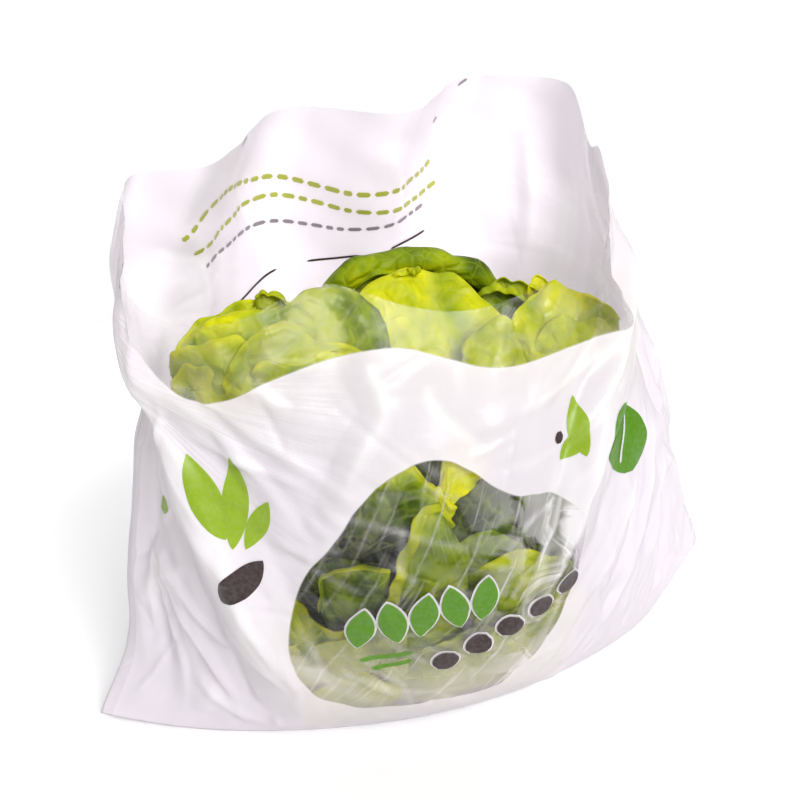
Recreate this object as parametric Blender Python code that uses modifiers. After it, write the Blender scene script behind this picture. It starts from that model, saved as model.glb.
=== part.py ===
"""Packed lettuce: an open, standing film bag with a head of soft-leaf lettuce in it.

The bag is one thin wall of film that is closed under the head and open above it, with a
low front lip and a higher, waved back lip. The head is one solid with overlapping leaves.
Width runs along X, the front faces -Y, and the bag stands on the plane Z = 0.
"""
import math

import bmesh
import bpy
import numpy as np

# Bag film
FILM_THICKNESS = 0.0012
COLUMNS = 56
BASE_ROWS = 3
WALL_ROWS = 15
FRONT_LIP_HEIGHT = 0.228
BACK_LIP_HEIGHT = 0.272
LIP_CROWN = 0.005
LIP_TILT = 0.009
EAR_LIFT_LEFT = 0.002
EAR_LIFT_RIGHT = 0.021
EAR_START = 0.62
EAR_LIFT_END = 0.09
# Where the lip climbs and where it tilts, going from the front (-1) to the back (1), and how
# far in front of the seams its swells reach their full height.
LIP_CLIMB = (-0.75, 0.45)
LIP_TILTING = (-0.2, 0.5)
SWELL_START = (0.0, 0.3)
# The front lip swells up or dips: how far across (-1 is the left corner), how wide and how
# high. Round the first swell the film also leans back, from one height to the next.
FRONT_SWELLS = ((-0.36, 0.22, 0.0101), (0.14, 0.22, -0.0042), (0.86, 0.21, 0.0155))
LEAN_BACK = 0.0063
LEAN_HEIGHTS = (0.169, 0.242)
# The left seam is drawn in at this height.
PINCH_HEIGHT = 0.184
PINCH_WIDTH = 0.020
PINCH_DEPTH = 0.009
PINCH_START = 0.7
# Toward its top the right seam leans back, and the film beside it with it.
SEAM_LEAN = 0.038
SEAM_LEAN_HEIGHTS = (0.185, 0.270)
SEAM_LEAN_START = 0.5

# One row for each level of the bag, from the floor up: its height, then the half width,
# the middle in X and in Y, the depth in front and behind, and how rounded its corners are
# (2 is a pointed lens, 1 an ellipse, 0.5 nearly a box).
BAG_LEVELS = (
    (0.000, 0.172, 0.003, 0.004, 0.058, 0.050, 1.90),
    (0.030, 0.162, 0.002, 0.001, 0.078, 0.074, 1.80),
    (0.090, 0.149, -0.005, 0.000, 0.094, 0.089, 1.50),
    (0.150, 0.134, -0.010, 0.000, 0.088, 0.088, 1.20),
    (0.205, 0.123, -0.020, 0.004, 0.066, 0.082, 0.90),
    (0.240, 0.120, -0.019, 0.009, 0.048, 0.072, 0.60),
    (0.290, 0.114, -0.005, 0.016, 0.040, 0.057, 0.50),
)

# The back wall swings in and out toward its lip: how far across, from the left corner,
# and how far out of the level's own outline.
BACK_WAVE = ((0.00, 0.000), (0.12, -0.036), (0.38, 0.030), (0.57, -0.012), (0.86, 0.044), (1.00, 0.000))
WAVE_START = 0.12
WAVE_ROUNDNESS = 0.8

# Head of lettuce
HEAD_GAP = 0.0004
HEAD_HEIGHT = 0.250
HEAD_HALF_WIDTH = 0.099
HEAD_HALF_DEPTH = 0.066
HEAD_MIDDLE_X = -0.013
HEAD_MIDDLE_Y = -0.004
HEAD_SEGMENTS = 72
HEAD_RINGS = 36
HEAD_FOOT_HEIGHT = 0.004
# How wide the head is at each fraction of its height.
HEAD_PROFILE = (
    (0.00, 0.46), (0.12, 0.74), (0.32, 0.96), (0.55, 1.00), (0.78, 0.88), (0.92, 0.66), (1.00, 0.40),
)
CROWN_DIMPLE = 0.022
CROWN_TURN = 0.62
LEAF_COUNT = 21
GOLDEN_ANGLE = math.radians(137.5)
OUTER_LEAF_HALF_ANGLE = 0.62
INNER_LEAF_HALF_ANGLE = 0.42
OUTER_LEAF_TIP = 0.60
INNER_LEAF_TIP = 1.04
LEAF_STAND = 0.012
LEAF_TIP_RISE = 0.012
LEAF_TIP_START = 0.7


def clear_scene():
    for thing in list(bpy.data.objects):
        bpy.data.objects.remove(thing, do_unlink=True)


def make_material(name, colour, roughness):
    material = bpy.data.materials.new(name)
    material.use_nodes = True
    shader = material.node_tree.nodes["Principled BSDF"]
    shader.inputs["Base Color"].default_value = (*colour, 1.0)
    shader.inputs["Roughness"].default_value = roughness
    shader.inputs["Metallic"].default_value = 0.0
    return material


def ease(value, start, end):
    """Rise smoothly from 0 at start to 1 at end."""
    share = np.clip((value - start) / (end - start), 0.0, 1.0)
    return share * share * (3.0 - 2.0 * share)


def follow(pairs, value):
    """Read a smooth curve through (place, amount) pairs, with no corner at any of them."""
    places = np.array([pair[0] for pair in pairs])
    amounts = np.array([pair[1] for pair in pairs])
    slopes = np.gradient(amounts, places)
    index = int(np.clip(np.searchsorted(places, value, side="right") - 1, 0, len(places) - 2))
    gap = places[index + 1] - places[index]
    share = np.clip((value - places[index]) / gap, 0.0, 1.0)
    near = (1.0 + 2.0 * share) * (1.0 - share) ** 2
    leave = share * (1.0 - share) ** 2 * gap
    arrive = share ** 2 * (share - 1.0) * gap
    start = near * amounts[index] + leave * slopes[index]
    end = (1.0 - near) * amounts[index + 1] + arrive * slopes[index + 1]
    return float(start + end)


def bag_level(height):
    """Half width, middle X, middle Y, front depth, back depth and roundness at a height."""
    return [follow([(row[0], row[i]) for row in BAG_LEVELS], height) for i in range(1, 7)]


def swell(value, place, width):
    """1 at a place, falling away within a width on both sides of it."""
    return math.exp(-((value - place) / width) ** 2)


def lip_height(angle):
    """Height of the open edge: low and swelling in front, and higher along the back."""
    side = math.sin(angle)
    rise = (BACK_LIP_HEIGHT - FRONT_LIP_HEIGHT) * ease(side, *LIP_CLIMB)
    tilt = LIP_TILT * math.cos(angle) * ease(side, *LIP_TILTING)
    front = ease(-side, *SWELL_START)
    swells = sum(high * swell(math.cos(angle), place, width) for place, width, high in FRONT_SWELLS)
    return FRONT_LIP_HEIGHT + rise + tilt + LIP_CROWN * max(side, 0.0) ** 2 + swells * front


def bag_point(angle, height, spread=1.0):
    """Place on the film at a plan angle: 0 is the right seam and 90 degrees is the back."""
    half_width, middle_x, middle_y, front, back, roundness = bag_level(height)
    boxy = min(roundness, 1.0)
    across = math.copysign(abs(math.cos(angle)) ** (1.0 / boxy), math.cos(angle))
    along = math.copysign(abs(math.sin(angle)) ** (1.0 / boxy), math.sin(angle))
    size = math.hypot(across, along)
    across = across / size
    along = along / size

    x = middle_x + half_width * math.copysign(abs(across) ** boxy, across)
    depth = back if along > 0.0 else front
    y = depth * math.copysign(abs(along) ** roundness, along)
    if along > 0.0:
        from_left = 0.5 + 0.5 * (x - middle_x) / half_width
        wave = follow(BACK_WAVE, from_left) * along ** WAVE_ROUNDNESS
        y += wave * ease(height, WAVE_START, BACK_LIP_HEIGHT)
    else:
        place, width, _ = FRONT_SWELLS[0]
        y += LEAN_BACK * swell((x - middle_x) / half_width, place, width) * ease(height, *LEAN_HEIGHTS)
    pinched = swell(height, PINCH_HEIGHT, PINCH_WIDTH)
    x += PINCH_DEPTH * pinched * ease(-across, PINCH_START, 1.0)
    y += SEAM_LEAN * ease(across, SEAM_LEAN_START, 1.0) * ease(height, *SEAM_LEAN_HEIGHTS)

    ear_lift = EAR_LIFT_RIGHT if across > 0.0 else EAR_LIFT_LEFT
    lift = ear_lift * ease(abs(across), EAR_START, 1.0) * (1.0 - ease(height, 0.0, EAR_LIFT_END))
    return x, middle_y + y * spread, height + lift


def make_bag(material, collection):
    """Wrap a grid into the bag: its first rows are the bottom and the others the wall."""
    rows = BASE_ROWS + WALL_ROWS
    film = bmesh.new()
    bmesh.ops.create_grid(film, x_segments=COLUMNS, y_segments=rows, size=0.5)
    for vertex in film.verts:
        angle = 2.0 * math.pi * (vertex.co.x + 0.5)
        row = (vertex.co.y + 0.5) * rows
        spread = min(row / BASE_ROWS, 1.0)
        height = lip_height(angle) * max(row - BASE_ROWS, 0.0) / WALL_ROWS
        vertex.co = bag_point(angle, height, spread)
    bmesh.ops.remove_doubles(film, verts=film.verts, dist=0.00001)
    bmesh.ops.dissolve_degenerate(film, edges=film.edges, dist=0.00001)
    bmesh.ops.recalc_face_normals(film, faces=film.faces)

    bag = make_object("bag_film", film, material, collection)
    wall = bag.modifiers.new("Film", "SOLIDIFY")
    wall.thickness = FILM_THICKNESS
    wall.offset = -1.0
    return bag


def leaf_relief(angle, share):
    """How far the leaves stand out of the head, each a domed blade beside and over the others."""
    relief = 0.0
    for index in range(LEAF_COUNT):
        order = index / (LEAF_COUNT - 1)
        turned = (angle - index * GOLDEN_ANGLE + math.pi) % (2.0 * math.pi) - math.pi
        half_angle = OUTER_LEAF_HALF_ANGLE + (INNER_LEAF_HALF_ANGLE - OUTER_LEAF_HALF_ANGLE) * order
        tip = OUTER_LEAF_TIP + (INNER_LEAF_TIP - OUTER_LEAF_TIP) * order
        middle = 0.5 * tip
        inside = 1.0 - (turned / half_angle) ** 2 - ((share - middle) / (tip - middle)) ** 2
        standing = 1.0 - 0.4 * order
        relief = max(relief, standing * math.sqrt(max(inside, 0.0)))
    return relief


def make_head(material, collection):
    """Shape a sphere into the head: flat foot, full sides, and leaf tips round a hollow crown."""
    floor = FILM_THICKNESS + HEAD_GAP
    head = bmesh.new()
    bmesh.ops.create_uvsphere(head, u_segments=HEAD_SEGMENTS, v_segments=HEAD_RINGS, radius=1.0)
    for vertex in head.verts:
        direction = vertex.co.copy()
        angle = math.atan2(direction.y, direction.x)
        turn = math.hypot(direction.x, direction.y)
        share = 0.5 + 0.5 * direction.z
        relief = leaf_relief(angle, share) * turn
        width = follow(HEAD_PROFILE, share)
        closing = min(1.0, turn / CROWN_TURN)
        radius_x = HEAD_HALF_WIDTH * width * closing + LEAF_STAND * relief
        radius_y = HEAD_HALF_DEPTH * width * closing + LEAF_STAND * relief
        height = HEAD_HEIGHT * share
        if direction.z > 0.0:
            height -= CROWN_DIMPLE * (1.0 - ease(turn, 0.0, CROWN_TURN))
            height -= LEAF_TIP_RISE * (1.0 - relief) * ease(share, LEAF_TIP_START, 1.0)
        vertex.co.x = HEAD_MIDDLE_X + radius_x * math.cos(angle)
        vertex.co.y = HEAD_MIDDLE_Y + radius_y * math.sin(angle)
        vertex.co.z = floor + max(height - HEAD_FOOT_HEIGHT, 0.0)
    bmesh.ops.dissolve_limit(
        head,
        angle_limit=math.radians(0.2),
        verts=[vertex for vertex in head.verts if vertex.co.z < floor + 0.00001],
        edges=[edge for edge in head.edges if max(end.co.z for end in edge.verts) < floor + 0.00001],
    )
    return make_object("lettuce_head", head, material, collection)


def make_object(name, shape, material, collection):
    mesh = bpy.data.meshes.new(name)
    shape.to_mesh(mesh)
    shape.free()
    mesh.materials.append(material)
    mesh.shade_smooth()
    thing = bpy.data.objects.new(name, mesh)
    collection.objects.link(thing)
    return thing


def main():
    clear_scene()
    collection = bpy.data.collections.new("packed_lettuce")
    bpy.context.scene.collection.children.link(collection)

    film_white = make_material("film_white", (0.86, 0.84, 0.86), 0.35)
    leaf_green = make_material("leaf_green", (0.33, 0.45, 0.06), 0.45)

    make_bag(film_white, collection)
    make_head(leaf_green, collection)


main()
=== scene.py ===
import functools
import math

import bmesh
import bpy
import numpy as np
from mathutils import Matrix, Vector, noise
from mathutils.bvhtree import BVHTree


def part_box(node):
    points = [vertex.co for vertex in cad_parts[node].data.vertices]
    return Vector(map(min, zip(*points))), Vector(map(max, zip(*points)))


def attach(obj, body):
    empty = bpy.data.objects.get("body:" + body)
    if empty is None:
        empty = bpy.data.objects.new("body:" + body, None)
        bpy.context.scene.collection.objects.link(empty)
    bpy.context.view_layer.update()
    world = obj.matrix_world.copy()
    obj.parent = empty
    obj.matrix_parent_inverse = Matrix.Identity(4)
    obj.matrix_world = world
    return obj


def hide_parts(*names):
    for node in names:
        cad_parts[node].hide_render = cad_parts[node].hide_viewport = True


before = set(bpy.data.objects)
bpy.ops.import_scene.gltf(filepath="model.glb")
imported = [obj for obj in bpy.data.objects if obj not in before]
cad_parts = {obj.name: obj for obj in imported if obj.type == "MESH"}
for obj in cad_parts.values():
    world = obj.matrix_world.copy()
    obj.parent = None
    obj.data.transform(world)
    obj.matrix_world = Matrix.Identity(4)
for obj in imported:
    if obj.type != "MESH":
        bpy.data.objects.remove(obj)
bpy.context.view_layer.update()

bagLow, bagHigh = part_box("bag_film")
headLow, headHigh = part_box("lettuce_head")
bagSize = bagHigh - bagLow
bagMiddle = (bagLow + bagHigh) / 2
headMiddle = (headLow + headHigh) / 2
onePoint = 0.00001     # points that are closer than this become one
print("frame loaded, bag", [round(side, 3) for side in bagSize])


def metres(millimetres):
    return np.array(millimetres) / 1000


def linearColour(hexText):
    channels = [int(hexText[i:i + 2], 16) / 255 for i in (0, 2, 4)]
    return (*[c / 12.92 if c <= 0.04045 else ((c + 0.055) / 1.055) ** 2.4 for c in channels], 1.0)


def ease(value, start, end):
    share = np.clip((value - start) / (end - start), 0.0, 1.0)
    return share * share * (3.0 - 2.0 * share)


def follow(places, amounts, value):
    # a smooth curve through the pairs, with no corner at any of them
    places = np.asarray(places, float)
    amounts = np.asarray(amounts, float)
    slopes = np.gradient(amounts, places)
    index = np.clip(np.searchsorted(places, value, side="right") - 1, 0, len(places) - 2)
    gap = places[index + 1] - places[index]
    share = np.clip((value - places[index]) / gap, 0.0, 1.0)
    near = (1.0 + 2.0 * share) * (1.0 - share) ** 2
    leave = share * (1.0 - share) ** 2 * gap * slopes[index]
    arrive = share ** 2 * (share - 1.0) * gap * slopes[index + 1]
    return near * amounts[index] + leave + (1.0 - near) * amounts[index + 1] + arrive


def followPath(points, share):
    # the same along a path: share runs from 0 at its first point to 1 at its last
    points = np.asarray(points, float)
    steps = np.linalg.norm(np.diff(points, axis=0), axis=1)
    places = np.concatenate(([0.0], np.cumsum(steps))) / steps.sum()
    return [follow(places, points[:, axis], share) for axis in range(points.shape[1])]


def gridNormals(points):
    across = np.gradient(points, axis=1)
    upward = np.gradient(points, axis=0)
    normals = np.cross(across, upward)
    return normals / np.maximum(np.linalg.norm(normals, axis=2, keepdims=True), 1e-12)


def addObject(name, data):
    thing = bpy.data.objects.new(name, data)
    bpy.context.scene.collection.objects.link(thing)
    return thing


def layGrids(name, sheets, material, closeSeams=False, wall=0.0):
    # one grid for each sheet, its corners moved to the sheet's points; maps are kept in metres
    shape = bmesh.new()
    for sheet in sheets:
        rows, columns = sheet["points"].shape[0] - 1, sheet["points"].shape[1] - 1
        made = bmesh.ops.create_grid(shape, x_segments=columns, y_segments=rows, size=0.5)["verts"]
        flat = sheet["points"].reshape(-1, 3)
        sheet["order"] = []
        for vertex in made:
            row, column = round((vertex.co.y + 0.5) * rows), round((vertex.co.x + 0.5) * columns)
            sheet["order"].append(row * (columns + 1) + column)
            vertex.co = flat[sheet["order"][-1]]
    mesh = bpy.data.meshes.new(name)
    shape.to_mesh(mesh)
    shape.free()

    for layer in [key for key in sheets[0] if key not in ("points", "order", "map")]:
        attribute = mesh.attributes.new(layer, "FLOAT", "POINT")
        attribute.data.foreach_set(
            "value", np.concatenate([sheet[layer].reshape(-1)[sheet["order"]] for sheet in sheets]))
    if "map" in sheets[0]:
        places = np.concatenate([sheet["map"].reshape(-1, 2)[sheet["order"]] for sheet in sheets])
        corners = np.zeros(len(mesh.loops), int)
        mesh.loops.foreach_get("vertex_index", corners)
        mesh.uv_layers.new(name="sheetMap").data.foreach_set("uv", places[corners].ravel())
    if closeSeams:
        shape = bmesh.new()
        shape.from_mesh(mesh)
        bmesh.ops.remove_doubles(shape, verts=shape.verts, dist=onePoint)
        bmesh.ops.dissolve_degenerate(shape, edges=shape.edges, dist=onePoint)
        shape.to_mesh(mesh)
        shape.free()

    mesh.shade_smooth()
    mesh.materials.append(material)
    piece = addObject(name, mesh)
    if wall:
        skin = piece.modifiers.new("Wall", "SOLIDIFY")
        skin.thickness = wall
        skin.offset = -1.0
    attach(piece, "root")
    return piece


def addNode(tree, kind, inputs=(), **settings):
    # inputs go in their order or by name or number; each is a plain value, another node's output,
    # or a node, which stands for its first output
    node = tree.nodes.new("ShaderNode" + kind)
    for name, value in settings.items():
        setattr(node, name, value)
    for name, value in (inputs.items() if isinstance(inputs, dict) else enumerate(inputs)):
        if isinstance(value, bpy.types.Node):
            value = value.outputs[0]
        if isinstance(value, bpy.types.NodeSocket):
            tree.links.new(value, node.inputs[name])
        else:
            node.inputs[name].default_value = value
    return node


def startFinish(name):
    # an empty material, and what adds a node to it
    material = bpy.data.materials.new(name)
    material.use_nodes = True
    material.node_tree.nodes.clear()
    return material, functools.partial(addNode, material.node_tree)


def fillCurve(node, points):
    # the two end points are there already
    curve = node.mapping.curves[0]
    for place, amount in points[1:-1]:
        curve.points.new(place, amount)
    for point, location in ((curve.points[0], points[0]), (curve.points[-1], points[-1])):
        point.location = location
    node.mapping.update()


def fillRamp(ramp, stops):
    for place, hexText in stops[1:-1]:
        ramp.elements.new(place).color = linearColour(hexText)
    for element, (place, hexText) in zip((ramp.elements[0], ramp.elements[-1]), (stops[0], stops[-1])):
        element.position = place
        element.color = linearColour(hexText)


bag = {
    "panelSteps": 248,        # columns across the front, and as many across the back
    "baseRows": 10,
    "wallRows": 174,
    "arcSamples": 1201,       # places along each panel that its length is measured with
    "panelHalfWidth": 0.181,  # the film laid flat
    "frontHeight": 0.245,
    "backHeight": 0.285,
    # share of the bag's height, then the half width and middle X as shares of its width, the
    # middle Y and the depths in front and behind as shares of its depth, and how round it is
    "levels": (
        (0.000, 0.500, 0.000, -0.029, 0.277, 0.239, 1.90),
        (0.107, 0.471, -0.003, -0.043, 0.372, 0.353, 1.80),
        (0.320, 0.433, -0.023, -0.048, 0.449, 0.425, 1.50),
        (0.533, 0.390, -0.038, -0.048, 0.420, 0.420, 1.20),
        (0.729, 0.358, -0.067, -0.029, 0.315, 0.392, 0.90),
        (0.853, 0.349, -0.064, -0.005, 0.229, 0.344, 0.60),
        (1.031, 0.331, -0.023, 0.028, 0.191, 0.272, 0.50),
    ),
    "backWave": ((0.00, 0.12, 0.38, 0.57, 0.86, 1.00), (0.000, -0.172, 0.143, -0.057, 0.210, 0.000)),
    "frontLip": 0.811,
    "backLip": 0.967,
    "lipRise": (-0.75, 0.45),            # where the front lip turns into the back one
    "lipTilt": 0.032,
    "tiltRange": (-0.2, 0.5),
    "lipCrown": 0.018,
    # swells of the front lip: how far across, width, rise and lean back
    "lipSwells": ((-0.36, 0.22, 0.036, 0.030), (0.16, 0.22, -0.015, 0.0), (0.95, 0.22, 0.055, 0.0)),
    "waveRange": (0.427, 0.967),         # the back's wave and the lip's lean grow between these heights
    "leanRange": (0.60, 0.86),
    "earLift": (0.007, 0.075),           # left and right corner of the foot
    "earReach": (0.62, 0.32),            # from how far across, and up to where
    # the left weld dips in: how high up, how wide and how deep, and from how far across
    "leftPinch": (0.655, 0.070, 0.026, 0.70),
    # the left corner of the foot spreads: how far, up to where, and from how far across
    "leftFoot": (0.024, 0.240, 0.30),
    # the right weld leans back: how far, from where up to where, and from how far across
    "rightLean": (0.181, 0.658, 0.960, 0.5),
}


def lipSwell(angle):
    # extra height of the front lip as a share of the plain lip, for each place round the mouth
    across, along = np.abs(np.cos(angle)) ** 1.4, np.abs(np.sin(angle)) ** 1.4
    share = np.sign(np.cos(angle)) * (across / np.hypot(across, along)) ** 0.72
    swells = sum(rise * np.exp(-((share - place) / width) ** 2) for place, width, rise, _ in bag["lipSwells"])
    return swells / bag["frontLip"] * ease(-np.sin(angle), 0.0, 0.3)


def lipHeight(angle):
    side = np.sin(angle)
    share = bag["frontLip"] + (bag["backLip"] - bag["frontLip"]) * ease(side, *bag["lipRise"])
    share = share + bag["lipTilt"] * np.cos(angle) * ease(side, *bag["tiltRange"])
    share = share + bag["lipCrown"] * np.maximum(side, 0.0) ** 2
    return share * bagSize.z * (1.0 + lipSwell(angle))


def bagPoint(angle, height):
    angle, height = np.broadcast_arrays(angle, height)
    levels = np.array(bag["levels"])
    share = height / bagSize.z
    halfWidth, middleX, middleY, front, back, roundness = [
        follow(levels[:, 0], levels[:, i], share) for i in range(1, 7)]
    boxy = np.minimum(roundness, 1.0)
    across = np.sign(np.cos(angle)) * np.abs(np.cos(angle)) ** (1.0 / boxy)
    along = np.sign(np.sin(angle)) * np.abs(np.sin(angle)) ** (1.0 / boxy)
    size = np.hypot(across, along)
    across, along = across / size, along / size

    x = halfWidth * np.sign(across) * np.abs(across) ** boxy
    y = np.where(along > 0, back, front) * np.sign(along) * np.abs(along) ** roundness
    wave = follow(*bag["backWave"], 0.5 + 0.5 * x / halfWidth)
    y = y + np.where(along > 0, wave * ease(share, *bag["waveRange"]) * np.maximum(along, 0.0) ** 0.8, 0.0)
    place, width, _, lean = bag["lipSwells"][0]
    swell = np.exp(-((x / halfWidth - place) / width) ** 2) * ease(share, *bag["leanRange"])
    y = y + np.where(along < 0, lean * swell, 0.0)
    high, wide, deep, reach = bag["leftPinch"]
    x = x + deep * np.exp(-((share - high) / wide) ** 2) * ease(-across, reach, 1.0)
    spread, top, reach = bag["leftFoot"]
    x = x - spread * ease(-across, reach, 1.0) * (1.0 - ease(share, 0.0, top))
    lean, start, end, reach = bag["rightLean"]
    y = y + lean * ease(across, reach, 1.0) * ease(share, start, end)
    lift = np.where(across > 0, bag["earLift"][1], bag["earLift"][0])
    earStart, earTop = bag["earReach"]
    lift = lift * ease(np.abs(across), earStart, 1.0) * (1.0 - ease(share, 0.0, earTop))
    return np.stack([
        bagMiddle.x + (middleX + x) * bagSize.x,
        bagMiddle.y + (middleY + y) * bagSize.y,
        bagLow.z + (share + lift) * bagSize.z], axis=-1)


def smoothFilm():
    # rows from the bottom's middle out and up to the lip; columns go once round from the right weld
    steps = bag["panelSteps"]
    wall = []
    swells = []
    for share in np.linspace(0.0, 1.0, bag["wallRows"] + 1):
        row = []
        swell = []
        for start, end in ((0.0, math.pi), (math.pi, 2.0 * math.pi)):
            angles = np.linspace(start, end, bag["arcSamples"])
            line = bagPoint(angles, share * lipHeight(angles))
            length = np.concatenate(([0.0], np.cumsum(np.linalg.norm(np.diff(line, axis=0), axis=1))))
            even = np.linspace(0.0, length[-1], steps + 1)
            row.append(np.stack([np.interp(even, length, line[:, axis]) for axis in range(3)], axis=-1))
            swell.append(np.interp(even, length, lipSwell(angles)))
        wall.append(np.concatenate([row[0], row[1][1:]]))
        swells.append(np.concatenate([swell[0], swell[1][1:]]))
    wall = np.array(wall)
    fold = 0.5 * (wall[0] + wall[0][::-1])       # the bottom weld, where front and back meet
    base = [fold + (wall[0] - fold) * i / bag["baseRows"] for i in range(bag["baseRows"])]
    return np.concatenate([np.array(base), wall]), np.array([swells[0]] * bag["baseRows"] + swells)


def filmMap(swells):
    # metres on the flat film: the front from -0.18 to 0.18, and the back the same with 1 added
    steps = bag["panelSteps"]
    column = np.arange(2 * steps + 1)
    up = (np.arange(bag["baseRows"] + bag["wallRows"] + 1) - bag["baseRows"]) / bag["wallRows"]
    isFront = column > steps
    x = np.where(isFront, (column - steps) / steps * 2.0 - 1.0, 1.0 - column / steps * 2.0)
    x = x * bag["panelHalfWidth"] + np.where(isFront, 0.0, 1.0)
    y = up[:, None] * np.where(isFront, bag["frontHeight"], bag["backHeight"])[None, :] * (1.0 + swells)
    return np.stack([np.broadcast_to(x, y.shape), y], axis=-1)


def onFilm(points, normals, side, x, y, lift=0.0):
    # reads the place of film coordinates from the grid; lift is out of the bag
    steps = bag["panelSteps"]
    u = np.clip(x / bag["panelHalfWidth"], -1.0, 1.0)
    column = steps * (1.0 + 0.5 * (u + 1.0)) if side == "front" else steps * 0.5 * (1.0 - u)
    height = filmPlaces[-1, np.clip(np.round(column).astype(int), 0, 2 * steps), 1]
    row = bag["baseRows"] + np.clip(y / height, 0.0, 1.0) * bag["wallRows"]
    i = np.clip(np.floor(row).astype(int), 0, points.shape[0] - 2)
    j = np.clip(np.floor(column).astype(int), 0, points.shape[1] - 2)
    p, q = (row - i)[..., None], (column - j)[..., None]
    place = 0.0
    for grid, share in ((points, 1.0), (normals, np.asarray(lift)[..., None])):
        mixed = (grid[i, j] * (1 - p) * (1 - q) + grid[i + 1, j] * p * (1 - q)
                 + grid[i, j + 1] * (1 - p) * q + grid[i + 1, j + 1] * p * q)
        place = place + mixed * share
    return place


# Folds that the pull of the mouth's corners and the head's push leave in the film, in millimetres:
# the path across and up the flat film, listed from the top down, how high it stands, and how far
# its foot reaches to the right and to the left. Film folds are straight-sided, with flat facets.
folds = {
    "front": (
        # the long ridges from the mouth's corners down to the foot
        (((-168, 236), (-147, 210), (-139, 186), (-130, 160), (-120, 138), (-110, 115), (-102, 82),
          (-92, 50), (-82, 14)), 12.2, 28, 22),
        (((150, 246), (114, 226), (97, 211), (83, 196), (68, 178), (51, 155), (38, 133), (25, 113),
          (4, 78)), 9.2, 24, 13),
        (((156, 222), (108, 192), (71, 173), (47, 150), (38, 118)), 3.2, 8, 12),
        # fans that run from the corners over the front panel
        (((-150, 222), (-121, 208), (-98, 182), (-78, 148)), 2.6, 6, 14),
        (((-140, 222), (-107, 208), (-86, 192), (-60, 178)), 1.6, 10, 6),
        (((-142, 200), (-122, 168), (-106, 130), (-94, 96)), 2.2, 5, 11),
        (((-136, 180), (-114, 140), (-96, 80), (-82, 40)), 1.8, 10, 4),
        (((-128, 160), (-104, 108), (-88, 60)), 1.4, 4, 6),
        (((-46, 234), (-37, 206), (-52, 188), (-70, 156)), 3.2, 18, 12),
        (((-16, 222), (-10, 206), (4, 192), (26, 182)), -2.2, 12, 16),
        (((120, 222), (70, 206), (30, 196), (-10, 190)), 1.8, 5, 12),
        (((110, 214), (66, 186), (34, 170)), 1.6, 4, 8),
        (((90, 222), (60, 204), (44, 190)), -1.2, 6, 6),
        # the left flap, hollow and drawn in where its print is pinched
        (((-166, 192), (-163, 150), (-162, 110), (-156, 60), (-150, 10)), -5.2, 20, 18),
        (((-154, 186), (-146, 162), (-150, 142), (-163, 124)), 2.2, 4, 7),
        (((-163, 124), (-146, 108), (-128, 88), (-110, 62)), 2.4, 4, 8),
        (((-163, 124), (-148, 96), (-132, 60), (-118, 24)), 2.6, 8, 4),
        (((-163, 124), (-156, 92), (-148, 56), (-142, 16)), 2.2, 4, 8),
        (((-163, 124), (-164, 90), (-162, 50)), 1.8, 4, 5),
        (((-163, 124), (-170, 106), (-178, 96)), -2, 5, 4),
        (((-178, 190), (-163, 184), (-146, 194)), 1.8, 5, 6),
        (((-122, 80), (-116, 48), (-102, 22)), -3, 6, 10),
        (((-140, 50), (-124, 30), (-100, 10)), 1.8, 6, 6),
        # the right flap and its ear
        (((122, 190), (98, 152), (76, 122), (48, 86), (30, 50)), 3.4, 5, 14),
        (((122, 182), (110, 142), (90, 104), (64, 62), (44, 26)), 3, 12, 5),
        (((130, 176), (120, 130), (106, 90), (86, 46)), 2.6, 4, 10),
        (((114, 136), (134, 128), (156, 92), (172, 40)), 4.2, 12, 14),
        (((134, 128), (134, 96), (124, 56), (110, 20)), -3.6, 10, 12),
        (((150, 190), (152, 150), (164, 112)), 2.8, 10, 5),
        (((144, 206), (134, 176), (130, 140)), -3, 8, 12),
        (((100, 160), (80, 104), (60, 78)), -1.8, 5, 5),
    ),
    "back": (
        (((-150, 262), (-130, 200), (-106, 130), (-80, 60)), 5, 24, 18),
        (((150, 262), (128, 200), (100, 130), (70, 60)), 5, 18, 24),
        (((-140, 250), (-90, 226), (-40, 220)), 1.2, 10, 16),
        (((-70, 262), (-54, 222), (-44, 180)), 1.4, 16, 10),
        (((20, 270), (26, 236), (18, 200)), -1.2, 12, 14),
        (((80, 272), (72, 230), (82, 186)), 1.6, 12, 18),
        (((120, 262), (112, 214), (96, 180)), -1.8, 14, 10),
        (((-112, 256), (-104, 214), (-110, 170)), -1.6, 16, 12),
        (((-100, 110), (-40, 120), (30, 104), (100, 116)), 2, 14, 14),
    ),
}
# film whitens where it is pulled tight, and these lines serve also as painted highlight along the ridges: the
# path and its half width, and how white it turns
stretchedAndHighlit = {
    "front": (
        # down the ridge at the window's right, a broad one with two sharp lines in it, partly painted
        # highlight
        (((52, 176), (40, 150), (31, 124), (17, 98), (0, 74)), 9.5, 0.50),
        (((56, 180), (43, 151), (35, 126), (20, 94)), 3.6, 0.70),
        (((47, 176), (34, 148), (23, 120), (9, 92)), 3.4, 0.50),
        (((40, 120), (34, 96), (20, 64), (4, 44)), 4.6, 0.40),
        # broad faint ones over the middle and the left
        (((-50, 180), (-62, 158), (-78, 140)), 4, 0.20),
        (((-104, 110), (-88, 80), (-70, 56), (-50, 40)), 8, 0.34),
        (((-70, 70), (-40, 52), (-6, 48)), 5, 0.24),
    ),
    "back": (),
}
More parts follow.
